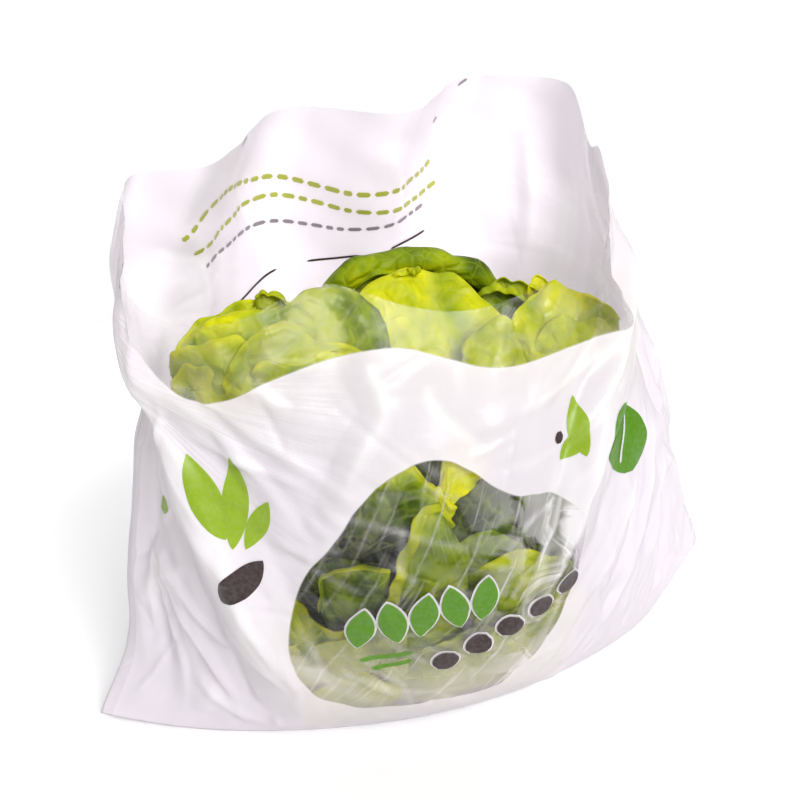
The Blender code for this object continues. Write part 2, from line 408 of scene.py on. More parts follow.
# small creases between the folds, each drawn towards the mouth's nearer corner
crumple = {
    "seed": 5,
    "count": {"front": 250, "back": 190},
    "length": (0.012, 0.070),
    "height": {"front": (0.0003, 0.0014), "back": (0.0003, 0.0012)},
    "width": (0.0022, 0.0075),
    "field": ((-0.17, 0.17), (0.005, 0.25)),   # where they start, across and up
    "corners": (0.145, 0.235),
    "stray": 0.32,                             # radians off the pull of the corner
    # how white the crests of folds and crumples turn: partly stress whitening, partly painted highlight
    "whiteningAndHighlight": {"fold": 0.75, "crumple": 0.25},
}
creaseShape = {
    "points": 22,        # that a curved path is followed with
    "narrowing": 0.35,   # narrower by this share at its far end
    "roundCrest": 0.06,
    "roundFoot": 0.04,
    "least": 0.004,
}


def crease(x, y, path, rightFoot, leftFoot, leaveOff=0.9):
    # 1 on the path, falling straight to 0 at its feet, with a slightly rounded crest
    crest = np.zeros(x.shape)
    path = np.asarray(path, float)
    foot = max(rightFoot, leftFoot) * 1.2
    near = np.all([x > path[:, 0].min() - foot, x < path[:, 0].max() + foot,
                   y > path[:, 1].min() - foot, y < path[:, 1].max() + foot], axis=0)
    px, py = x[near], y[near]
    if len(path) > 2:
        path = np.stack(followPath(path, np.linspace(0.0, 1.0, creaseShape["points"])), axis=-1)
    nearest, along, side = np.full(px.shape, 9.0), np.zeros(px.shape), np.ones(px.shape)
    last = len(path) - 1
    for index in range(last):
        (ax, ay), (bx, by) = path[index], path[index + 1]
        length = math.hypot(bx - ax, by - ay)
        share = np.clip(((px - ax) * (bx - ax) + (py - ay) * (by - ay)) / length ** 2, 0.0, 1.0)
        distance = np.hypot(px - ax - share * (bx - ax), py - ay - share * (by - ay))
        closer = distance < nearest
        nearest = np.where(closer, distance, nearest)
        along = np.where(closer, (index + share) / last, along)
        side = np.where(closer, (bx - ax) * (py - ay) - (by - ay) * (px - ax), side)
    narrowing = 1.0 - creaseShape["narrowing"] * along
    reach = nearest / (np.where(side > 0, rightFoot, leftFoot) * narrowing)
    straight = 1.0 + creaseShape["roundCrest"] - np.sqrt(reach ** 2 + creaseShape["roundCrest"] ** 2)
    taper = ease(along, -0.02, 0.16) * (1.0 - leaveOff * ease(along, 0.55, 1.0))
    crest[near] = 0.5 * (straight + np.sqrt(straight ** 2 + creaseShape["roundFoot"] ** 2)) * taper
    return np.where(crest > creaseShape["least"], crest, 0.0)


def foldFilm(places):
    # how far the film stands out of its smooth shape, and how white its crests and stretch lines turn: partly
    # stress whitening, partly painted highlight
    relief = np.zeros(places.shape[:2])
    whiteAndHighlit = np.zeros(places.shape[:2])
    dice = np.random.default_rng(crumple["seed"])
    cornerX, cornerY = crumple["corners"]
    for side, shift in (("front", 0.0), ("back", 1.0)):
        chosen = (places[..., 0] > 0.5) == (side == "back")
        x, y = places[..., 0][chosen] - shift, places[..., 1][chosen]
        bend, sharp = np.zeros(x.shape), np.zeros(x.shape)
        for path, *sizes in folds[side]:
            height, rightFoot, leftFoot = metres(sizes)
            crest = crease(x, y, metres(path), rightFoot, leftFoot)
            bend += height * crest
            sharp += crumple["whiteningAndHighlight"]["fold"] * ease(crest, 0.70 - 20.0 * abs(height), 1.0)
        for path, width, amount in stretchedAndHighlit[side]:
            sharp += amount * crease(x, y, metres(path), width / 1000, width / 1000, leaveOff=0.6)
        for _ in range(crumple["count"][side]):
            startX, startY = (dice.uniform(*limits) for limits in crumple["field"])
            pull = math.atan2(cornerY - startY, math.copysign(cornerX, startX) - startX)
            pull += dice.normal(0.0, crumple["stray"])
            length = dice.uniform(*crumple["length"])
            end = (startX + length * math.cos(pull), startY + length * math.sin(pull))
            height = dice.uniform(*crumple["height"][side]) * dice.choice([-0.6, 1.0])
            width = dice.uniform(*crumple["width"])
            if side == "back":
                height *= 1.0 - 0.75 * ease(startY, 0.150, 0.190)     # it stands free above the head
            crest = crease(x, y, ((startX, startY), end), width, width * dice.uniform(0.5, 1.0))
            bend += height * crest
            sharp += crumple["whiteningAndHighlight"]["crumple"] * ease(crest, 0.45, 1.0) * ease(width, 0.003, 0.006)
        # a slow ripple over all of it, and hardly any relief along the welds
        bend = bend + 0.0005 * np.sin(190 * x + 60 * y) * np.sin(150 * y - 70 * x)
        bend = bend * (1.0 - 0.8 * ease(np.abs(x), 0.172, bag["panelHalfWidth"]))
        relief[chosen], whiteAndHighlit[chosen] = bend, sharp
    relief = relief * ease(places[..., 1], -0.004, 0.012)
    relief[:, 0] = relief[:, -1] = 0.5 * (relief[:, 0] + relief[:, -1])
    return relief, np.clip(whiteAndHighlit, 0.0, 1.0)


filmLook = {
    # lower edge of the clear strip under the front lip, millimetres across and up, and its right end
    "stripEdge": (
        (-200, 262), (-165, 245), (-143, 227), (-130, 218), (-119, 212), (-105, 214), (-89, 221),
        (-65, 227), (-42, 230), (-24, 230), (-7, 225), (14, 218), (29, 216), (62, 217), (90, 216),
        (101, 216), (105, 230), (108, 260), (200, 300)),
    "stripEnd": (0.1060, 0.1052),
    # the window's edge round its middle, in degrees and millimetres
    "windowMiddle": (-0.021, 0.111, 0.0),
    "windowEdge": (
        (0, 66), (20, 72.5), (35, 77), (45, 70.7), (55, 65.5), (73, 71), (84, 74.4), (100, 72.2),
        (120, 65.9), (140, 60.3), (160, 63), (185, 67), (204, 74.3), (216, 80), (235, 86), (257, 76.5),
        (272, 72.5), (287, 74.5), (301, 67), (322, 62.2), (342, 62), (360, 66)),
    "weldMargin": (0.1742, 0.1750),
    "mouthCorners": ((-0.172, 0.226, 0.0), (0.178, 0.246, 0.0)),
    "pull": math.radians(62.0),               # of the thin streaks
    "streakSize": (0.060, 0.003, 1.0),
    "pulledLines": (18.0, 9.0, 1.0),          # round the corner and out from it
    "white": "f4edf5", "crestWhiteAndHighlight": "fffcff", "glow": "faf3f8", "gloss": "bdbcbd",
    "printedCover": 0.985,
    "letsThrough": 0.33,
    "roughness": 0.34, "glossRoughness": 0.16,
    "index": 1.50, "glossIndex": 1.38,
}


def thinFilm():
    # printed polyethylene film, blown and heat-sealed: a glossy milky white that lets a little
    # light through, with clear fields whose creases catch the light
    material, add = startFinish("printedPolyethyleneFilm")
    spot = add("UVMap", uv_map="sheetMap")
    split = add("SeparateXYZ", [spot])
    x, y = split.outputs["X"], split.outputs["Y"]

    # the clear strip: the curve gives its edge's height as a share of 300 mm, over 400 mm across
    place = add("MapRange", [x, -0.2, 0.2])
    edge = add("FloatCurve", {"Value": place})
    fillCurve(edge, [(0.5 + across / 400, up / 300) for across, up in filmLook["stripEdge"]])
    above = add("Math", [edge, -0.3, y], operation="MULTIPLY_ADD")
    clearStrip = add("MapRange", [above, -0.0004, 0.0004])
    rightEnd = add("MapRange", [x, filmLook["stripEnd"][0], filmLook["stripEnd"][1]])
    strip = add("Math", [clearStrip, rightEnd], operation="MULTIPLY")

    # the window: the curve gives its radius as a share of 100 mm, over one turn
    middle = add("VectorMath", [spot, filmLook["windowMiddle"]], operation="SUBTRACT")
    fromMiddle = add("SeparateXYZ", [middle])
    turn = add("Math", [fromMiddle.outputs["Y"], fromMiddle.outputs["X"]], operation="ARCTAN2")
    turn = add("Math", [turn, 0.5 / math.pi], operation="MULTIPLY")
    turn = add("Math", [turn], operation="FRACT")
    radius = add("FloatCurve", {"Value": turn})
    fillCurve(radius, [(degrees / 360, size / 100) for degrees, size in filmLook["windowEdge"]])
    distance = add("VectorMath", [middle], operation="LENGTH")
    inside = add("Math", [distance.outputs["Value"], -10.0, radius], operation="MULTIPLY_ADD")
    window = add("MapRange", [inside, -0.004, 0.004])
    clear = add("Math", [strip, window], operation="MAXIMUM")

    # unprinted margin along the side welds
    fold = add("Math", [x, 0.5], operation="PINGPONG")
    marginStart, marginEnd = filmLook["weldMargin"]
    margin = add("MapRange", {0: fold, 1: marginStart, 2: marginEnd, 4: 0.24})
    bare = add("Math", [clear, margin], operation="MAXIMUM")

    # milkiness of the clear film, partly its own haze and partly painted reflection and highlight:
    # cloudy patches where it lies slack, more of them at the window's right by the bright ridge,
    # streaks along its creases, more of it where it wraps the foot of the head, and one spot that
    # lies close and clear
    cloud = add("TexNoise", {
        "Vector": spot, "Scale": 34.0, "Detail": 3.0, "Roughness": 0.55, "Distortion": 1.4},
        noise_dimensions="2D")
    patches = add("MapRange", [cloud, 0.44, 0.56])
    underLip = add("MapRange", [y, 0.190, 0.205])
    lowDown = add("MapRange", [y, 0.104, 0.046, 0.00, 0.40])
    atRight = add("MapRange", [x, -0.010, 0.030, 0.06, 0.46])
    slack = add("Mix", {0: underLip, 2: atRight, 3: 0.08}, data_type="FLOAT")
    patchy = add("Math", [patches, slack, lowDown], operation="MULTIPLY_ADD")
    higher = add("Math", [underLip, 0.03, patchy], operation="MULTIPLY_ADD")
    creases = add("Attribute", attribute_name="whiteAndHighlit")
    whitenedAndHighlit = add("Mix", {0: underLip, 2: 0.60, 3: 0.16}, data_type="FLOAT")
    streaks = add("Math", [creases.outputs["Fac"], whitenedAndHighlit, higher],
                  operation="MULTIPLY_ADD", use_clamp=True)

    # thin straight streaks of pulled film, about 3 mm apart and 60 mm long, that run down from
    # the mouth's right corner, whitened partly as painted highlight
    fromCorner = add("Mapping", {
        "Vector": spot, "Rotation": (0.0, 0.0, filmLook["pull"]), "Scale": filmLook["streakSize"]},
        vector_type="TEXTURE")
    thin = add("TexNoise", {
        "Vector": fromCorner, "Scale": 1.0, "Detail": 2.0, "Roughness": 0.55}, noise_dimensions="2D")
    thinLines = add("MapRange", [thin, 0.61, 0.75])
    moreAtRight = add("MapRange", [x, -0.050, 0.020, 0.15, 0.38])
    fewUnderLip = add("Mix", {0: underLip, 2: moreAtRight, 3: 0.04}, data_type="FLOAT")
    thinLines = add("Math", [thinLines, fewUnderLip], operation="MULTIPLY")
    streaks = add("Math", [streaks, thinLines], operation="ADD", use_clamp=True)
    close = add("Math", [x, -0.045, 0.011], operation="COMPARE")
    close = add("Math", [close, underLip], operation="MULTIPLY")
    hazeAndHighlight = add("Mix", {0: close, 2: streaks, 3: 0.04}, data_type="FLOAT")
    cover = add("Mix", {0: bare, 2: filmLook["printedCover"], 3: hazeAndHighlight}, data_type="FLOAT")

    # fine pulled lines that fan out of the mouth's two corners, 4 to 8 mm apart
    lines = None
    for corner in filmLook["mouthCorners"]:
        offset = add("VectorMath", [spot, corner], operation="SUBTRACT")
        sides = add("SeparateXYZ", [offset])
        angle = add("Math", [sides.outputs["Y"], sides.outputs["X"]], operation="ARCTAN2")
        reach = add("VectorMath", [offset], operation="LENGTH")
        polar = add("CombineXYZ", {"X": angle, "Y": reach.outputs["Value"]})
        pulled = add("Mapping", {"Vector": polar, "Scale": filmLook["pulledLines"]})
        fan = add("TexNoise", {"Vector": pulled, "Scale": 1.0, "Detail": 3.0, "Roughness": 0.60},
                  noise_dimensions="2D")
        fade = add("MapRange", [reach.outputs["Value"], 0.02, 0.22, 1.0, 0.0])
        faded = add("Math", [fan, fade], operation="MULTIPLY")
        lines = faded if lines is None else add("Math", [lines, faded], operation="ADD")
    pulledBump = add("Bump", {"Strength": 0.65, "Distance": 0.0012, "Height": lines})

    # grain of blown film, about 4 mm apart, drawn coarse enough to show
    grain = add("TexNoise", {"Vector": spot, "Scale": 260.0, "Detail": 2.0, "Roughness": 0.5},
                noise_dimensions="2D")
    bump = add("Bump", {"Strength": 0.30, "Distance": 0.0004, "Height": grain, "Normal": pulledBump})

    # the film's white turns whiter along crests and stretch lines: partly stress whitening, partly painted
    # highlight
    tint = add("Mix", {
        0: creases.outputs["Fac"], 6: linearColour(filmLook["white"]),
        7: linearColour(filmLook["crestWhiteAndHighlight"])}, data_type="RGBA")
    plastic = add("BsdfPrincipled", {
        "Base Color": tint.outputs[2], "Roughness": filmLook["roughness"], "IOR": filmLook["index"],
        "Alpha": cover, "Normal": bump})
    through = add("BsdfTranslucent", {"Color": linearColour(filmLook["glow"])})
    empty = add("BsdfTransparent")
    veil = add("MixShader", [cover, empty, through])
    skin = add("MixShader", [filmLook["letsThrough"], plastic, veil])
    # the clear fields keep the film's gloss
    fresnel = add("Fresnel", {"IOR": filmLook["glossIndex"]})
    bareness = add("Math", [1.0, cover], operation="SUBTRACT")
    shine = add("Math", [fresnel, bareness], operation="MULTIPLY")
    gloss = add("BsdfGlossy", {
        "Color": linearColour(filmLook["gloss"]), "Roughness": filmLook["glossRoughness"], "Normal": bump})
    whole = add("MixShader", [shine, skin, gloss])
    add("OutputMaterial", {"Surface": whole})
    return material


filmSmooth, filmSwells = smoothFilm()
filmOut = gridNormals(filmSmooth)
filmPlaces = filmMap(filmSwells)
filmRelief, filmWhiteAndHighlit = foldFilm(filmPlaces)
filmPoints = filmSmooth + filmOut * filmRelief[..., None]
filmPoints[:, -1] = filmPoints[:, 0]
filmNormals = gridNormals(filmPoints)
bagFilm = layGrids("bagFilm", [{"points": filmPoints, "map": filmPlaces, "whiteAndHighlit": filmWhiteAndHighlit}],
                   thinFilm(), closeSeams=True)
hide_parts("bag_film")
filmShape = bmesh.new()
filmShape.from_mesh(bagFilm.data)
filmTree = BVHTree.FromBMesh(filmShape)
filmShape.free()
print("bag film", len(bagFilm.data.polygons), "faces")


# Print on the film: plain leaves, dots and dashes only. A mark is its ink, its shape, its middle
# across and up the flat film, its length and its width in millimetres, and its turn from upright.
printing = {
    "inks": {"greenInk": "5a9206", "freshInk": "98b818", "limeInk": "c6cc58", "darkInk": "3c2a2a",
             "greyInk": "a49ba3", "paleInk": "efe9ef"},
    "lift": 0.00028,
    "outline": 0.0010,
    "grain": 0.0013,      # of the grid that a mark is made of
    "mottle": 0.05,
    "front": (
        # a sprout and a single leaf on the left, and a small one on the flap
        ("freshInk", "leaf", -119, 168, 38, 12, -24),
        ("freshInk", "leaf", -108, 168, 44, 11, 2),
        ("freshInk", "leaf", -99, 158, 28, 9, 24),
        ("darkInk", "leaf", -106, 130, 26, 13, 38),
        ("freshInk", "leaf", -152, 144, 13, 7, 40),
        # on the right two leaves and a seed, and a round spot with a vein across it
        ("freshInk", "leaf", 60, 185, 26, 9, 14),
        ("freshInk", "leaf", 55, 178, 18, 7, 62),
        ("darkInk", "oval", 50, 183, 6, 4, 40),
        ("greenInk", "oval", 89, 170, 36, 33, 0),
        ("paleInk", "bar", 89, 170, 26, 1.6, 34),
        # two short bars under the window's row of leaves
        ("greenInk", "bar", -48, 83, 24, 2.6, 86),
        ("greenInk", "bar", -46, 77, 18, 2.6, 84),
    ),
    # over the window a row of leaves and a row of ovals, with a pale outline
    "outlined": [mark for number in range(5) for mark in (
        ("greenInk", "leaf", -58 + 13.8 * number, 103 + 2.6 * number, 25, 12, 10 - 20 * (number % 2)),
        ("darkInk", "oval", -22 + 15.2 * number, 76 + 8.6 * number, 13.5, 11.5, 35))],
    "back": (
        ("darkInk", "bar", -60, 196, 34, 1.2, 80),
        ("darkInk", "bar", -12, 203, 30, 1.2, 82),
        ("darkInk", "bar", 32, 208, 26, 1.2, 84),
        ("greyInk", "bar", -74, 282, 7, 1.6, 62),
        ("greyInk", "bar", 69, 266, 6, 1.6, 70),
        ("greyInk", "bar", 92, 282, 7, 1.6, 70),
    ),
    # rows of dashes on the back: ink, height of the dashes and the row's path
    "rows": (
        ("limeInk", 2.7, ((-118, 248), (-98, 258), (-50, 250), (0, 242), (76, 244))),
        ("limeInk", 2.5, ((-112, 237), (-49, 239), (0, 232), (36, 229), (76, 233))),
        ("greyInk", 2.0, ((-104, 226), (-65, 226), (-7, 221), (60, 224))),
    ),
    "seed": 3,
    "dash": (3, 9),
    "gap": 1.6,
    "lastDash": 15,       # how far before the row's end the last one may start
}


def dashRows():
    dice = np.random.default_rng(printing["seed"])
    for ink, height, path in printing["rows"]:
        length = sum(math.dist(start, end) for start, end in zip(path, path[1:]))
        along = 0.0
        while along < length - printing["lastDash"]:
            dash = dice.uniform(*printing["dash"])
            middle = (along + dash / 2) / length
            x, y = followPath(path, middle)
            nextX, nextY = followPath(path, middle + 0.01)
            lastX, lastY = followPath(path, middle - 0.01)
            yield (ink, "bar", x, y, dash, height, math.degrees(math.atan2(nextX - lastX, nextY - lastY)))
            along += dash + printing["gap"]


def printMark(shape, x, y, length, width, turn, side, lift, grow=0.0):
    # a small grid laid on the film, narrowed to its shape along its length
    x, y, length, width = metres((x, y, length, width))
    rows = max(6, round(length / printing["grain"]))
    columns = max(2, round(width / printing["grain"]))
    along, across = np.meshgrid(np.linspace(-1.0, 1.0, rows + 1), np.linspace(-1.0, 1.0, columns + 1),
                                indexing="ij")
    if side == "back" and lift > 0:
        across = -across
    narrow = {"leaf": np.maximum(np.cos(0.5 * math.pi * along), 0.0) ** 0.8,
              "oval": np.sqrt(np.maximum(1.0 - along ** 2, 0.0)),
              "bar": np.sqrt(np.maximum(1.0 - along ** 12, 0.0))}[shape]
    along = along * (length / 2 + grow)
    across = across * narrow * (width / 2 + grow)
    turn = math.radians(turn)
    return onFilm(filmPoints, filmNormals, side, x + along * math.sin(turn) + across * math.cos(turn),
                  y + along * math.cos(turn) - across * math.sin(turn), np.full(along.shape, lift))


def printedInk(name, hexText):
    # gravure ink on film: a thin even colour with a slight mottle, as glossy as the film under it
    material, add = startFinish(name)
    place = add("TexCoord")
    mottle = add("TexNoise", {"Vector": place.outputs["Object"], "Scale": 500.0, "Detail": 2.0})
    uneven = add("MapRange", [mottle, 0.35, 0.75, 0.0, printing["mottle"]])
    colour = add("Mix", {0: uneven, 6: linearColour(hexText), 7: linearColour("f4eff4")}, data_type="RGBA")
    ink = add("BsdfPrincipled", {"Base Color": colour.outputs[2], "Roughness": 0.30, "IOR": 1.50})
    through = add("BsdfTranslucent", {"Color": colour.outputs[2]})
    whole = add("MixShader", [0.30, ink, through])
    add("OutputMaterial", {"Surface": whole})
    return material


marks = {ink: [] for ink in printing["inks"]}
lift = printing["lift"]
for ink, *mark in printing["front"]:
    marks[ink].append(printMark(*mark, "front", 3 * lift if ink == "paleInk" else lift))
for ink, *mark in printing["outlined"]:
    marks["paleInk"].append(printMark(*mark, "front", lift, grow=printing["outline"]))
    marks[ink].append(printMark(*mark, "front", 3 * lift))
for ink, *mark in [*printing["back"], *dashRows()]:
    # the print shows on both faces of the back
    for face in (-lift, lift):
        marks[ink].append(printMark(*mark, "back", face))
for ink, sheets in marks.items():
    layGrids(ink + "Print", [{"points": points} for points in sheets], printedInk(ink, printing["inks"][ink]),
             closeSeams=True)
print("print on the film,", sum(len(sheets) for sheets in marks.values()), "marks")


leafDetail = {
    "rows": 46, "columns": 40, "thickness": 0.0006,
    "rollShare": 0.26,        # of the rows, the part that goes round the rim's roll
    "filmGap": 0.0026,        # a leaf presses up to the film, not through it
    "leastGap": 0.0018,       # and none of it is nearer than this
    "swellings": ((0.019, 0.0021), (0.0075, 0.0010)),  # size and height of the swellings between veins
    "bow": ((0.33, 1.0), (0.70, 0.8)),   # how far up, and the share of the belly there
    "raggedRoll": 0.35,
    "rollSize": (0.55, 0.45),            # share of its radius at the rim's ends, and what the middle adds
    "foldWidth": 0.07,
    "wave": 0.8,              # millimetres, of a leaf that doesn't state its own
    "ribHeight": 0.0022,
    "ribWidth": (0.0012, 0.0034),        # at the rim, and what the foot adds
    "faintRib": 0.4,          # of a leaf whose rib doesn't show
    "veinHeight": 0.0005,
    "seeds": {"mouth": 30, "window": 60, "head": 90, "draws": 11},
    "headCount": 22,
    "goldenAngle": 137.5,
    "floorGap": 0.004,
    "nearAxis": 0.010,        # nearer to the head's axis than this nothing meets the film
    "softness": 0.001,        # of the pressing
}
# Leaves in the mouth, from the middle of the head and up from the floor, and leaves against the
# window, across and up the flat film and behind it, in millimetres. Each is spun between its foot
# and its rim, both listed clockwise as seen from the front. The belly is how far it swells to the
# front, the roll is the radius and turn of its rim (forward is positive, back is negative), and
# the tones are those of foot, middle and rim, from 0, yellow, to 1, dark green; where the foot or
# middle is darker than the rim, it is partly the leaf's colour and partly painted shade, deep in
# the head or behind another leaf. A shade, where given, is painted shade as well: the leaf turns
# darker across it, from none at the first share to its amount at the second. A fold is where it
# starts at the foot and ends at the rim, as shares across the leaf, and its height.
mouthLeaves = (
    # behind: a leaf with a thick rolled rim, its blade coloured dark partly as painted shade under the roll,
    # and a second one against it
    dict(rim=((-36, 32, 198), (-33, 33, 207), (-17, 34, 217), (3, 35, 220), (23, 34, 218), (44, 32, 209),
              (56, 30, 199), (64, 28, 186)),
         foot=((-46, 40, 150), (0, 52, 135), (62, 38, 140)), belly=-4, roll=(6, 215),
         tones=(1.0, 0.94, 0.44), wave=0.6),
    dict(rim=((-30, 24, 194), (-26, 26, 202), (-16, 27, 210), (-2, 27, 214), (10, 26, 213)),
         foot=((-34, 26, 165), (8, 34, 160)), belly=4, roll=(3, 150), tones=(1.0, 0.62, 0.46), wave=0.8),
    dict(rim=((34, 16, 197), (44, 15, 201), (56, 12, 201), (64, 6, 197)),
         foot=((36, 12, 175), (62, 2, 175)), belly=3, roll=(2.6, 190), tones=(1.0, 0.60, 0.42), wave=0.4),
    dict(rim=((46, 22, 199), (57, 21, 203), (68, 15, 201), (78, 6, 195)),
         foot=((48, 16, 170), (76, 4, 170)), belly=2, roll=(1.8, 120), tones=(0.8, 0.42, 0.30), wave=0.4),
    # middle: the bright leaf over the heart, a curl on it, and the round leaf at its right
    dict(rim=((-36, -10, 208), (-29, -3, 213), (-20, 3, 216), (-9, 7, 219), (3, 9, 220), (14, 10, 219),
              (24, 8, 217), (31, 4, 211), (35, -1, 206), (42, -9, 201), (44, -18, 194)),
         foot=((-46, -36, 165), (0, -54, 150), (44, -40, 155)), belly=13, roll=(5, -75), fan=20,
         tones=(0.46, 0.20, 0.10), wave=1, folds=((0.30, 0.42, 1.6), (0.66, 0.60, -1.4))),
    dict(rim=((-5, 9, 220), (1, 8, 222), (8, 9, 221)),
         foot=((-4, 10, 215), (8, 11, 215)), belly=1, roll=(1.2, 200), tones=(0.5, 0.40, 0.22), wave=0.2),
    dict(rim=((12, -36, 198), (17, -33, 206), (25, -31, 209), (33, -30, 209), (38, -31, 205),
              (40, -34, 197), (40, -40, 188), (39, -44, 178)),
         foot=((10, -46, 186), (18, -52, 176), (34, -52, 168)), belly=6, roll=(3.4, -95),
         tones=(0.44, 0.26, 0.16), wave=1),
    # right: a broad fanned leaf, a lower fold before it and a bright tip behind
    dict(rim=((66, 14, 196), (69, 14, 204), (73, 14, 206), (78, 14, 202), (81, 13, 195)),
         foot=((66, 10, 172), (80, 8, 172)), belly=1, roll=(0.8, 60), tones=(0.2, 0.04, 0.0), wave=0.4),
    dict(rim=((45, -16, 192), (50, -10, 199), (58, -5, 203), (70, 0, 205), (86, 2, 201), (99, -3, 196),
              (105, -12, 188)),
         foot=((44, -36, 165), (70, -46, 155), (100, -26, 158)), belly=10, roll=(3.2, -70), fan=30,
         tones=(0.66, 0.28, 0.10), wave=1.4,
         folds=((0.05, 0.30, 2.2), (0.12, 0.55, 2.6), (0.22, 0.80, 2))),
    dict(rim=((48, -26, 187), (60, -20, 195), (78, -16, 195), (96, -18, 188), (103, -22, 181)),
         foot=((46, -42, 160), (75, -48, 150), (100, -28, 155)), belly=5, roll=(2.2, -70), fan=20,
         tones=(0.72, 0.36, 0.22), wave=1.6, folds=((0.30, 0.45, 2), (0.60, 0.75, 1.8))),
    # left: a bright band behind with a curled tip, then soft folds down to the film
    dict(rim=((-112, -8, 200), (-104, 0, 207), (-93, 4, 214), (-82, 5, 217), (-73, 5, 219), (-63, 4, 218),
              (-54, 0, 217)),
         foot=((-104, -20, 170), (-56, -12, 170)), belly=3, roll=(2.2, -60), tones=(0.5, 0.22, 0.08),
         wave=0.6),
    dict(rim=((-71, 5, 217), (-67, 4, 222), (-61, 2, 221), (-56, -1, 217)),
         foot=((-70, 3, 208), (-56, -2, 208)), belly=1, roll=(1.2, 170), tones=(0.4, 0.34, 0.40),
         wave=0.4),
    dict(rim=((-112, -20, 206), (-105, -20, 215), (-96, -20, 220), (-83, -21, 223), (-68, -22, 226),
              (-53, -22, 228), (-40, -20, 228), (-28, -16, 224), (-18, -14, 216)),
         foot=((-108, -32, 175), (-60, -46, 170), (-18, -46, 165)), belly=10, roll=(3.4, -80),
         # its right part turns darker: painted shade
         tones=(0.64, 0.40, 0.18), shade=(0.62, 0.95, 0.26), wave=1,
         folds=((0.80, 0.62, 3), (0.40, 0.32, 1.8))),
    dict(rim=((-114, -16, 204), (-111, -20, 211), (-104, -24, 216), (-95, -28, 218), (-87, -30, 218),
              (-81, -32, 215), (-77, -34, 209), (-75, -36, 202)),
         foot=((-110, -26, 182), (-96, -36, 180), (-78, -42, 182)), belly=4, roll=(2.8, -85),
         tones=(0.80, 0.38, 0.14), wave=0.8),
    dict(rim=((-95, -38, 203), (-91, -37, 211), (-86, -36, 217), (-79, -35, 221), (-70, -35, 223),
              (-62, -36, 221), (-53, -38, 217), (-43, -41, 213), (-32, -45, 207)),
         foot=((-90, -42, 182), (-60, -50, 178), (-32, -52, 182)), belly=5, roll=(2.8, -80),
         tones=(0.66, 0.32, 0.14), wave=1, folds=((0.30, 0.42, 1.4), (0.62, 0.55, 1.2))),
    dict(rim=((-87, -41, 197), (-85, -41, 204), (-80, -43, 210), (-70, -45, 211), (-56, -46, 212),
              (-42, -48, 213), (-32, -50, 208)),
         foot=((-86, -44, 182), (-56, -52, 178), (-30, -54, 180)), belly=2, roll=(2, -80),
         tones=(0.70, 0.42, 0.16), wave=0.8),
    dict(rim=((-114, -20, 194), (-113, -23, 201), (-109, -26, 207), (-103, -31, 208), (-97, -34, 206),
              (-92, -37, 205), (-88, -39, 201), (-86, -41, 194)),
         foot=((-112, -24, 178), (-100, -34, 176), (-86, -42, 178)), belly=3, roll=(2.6, -80),
         tones=(0.72, 0.28, 0.10), wave=0.8),
)
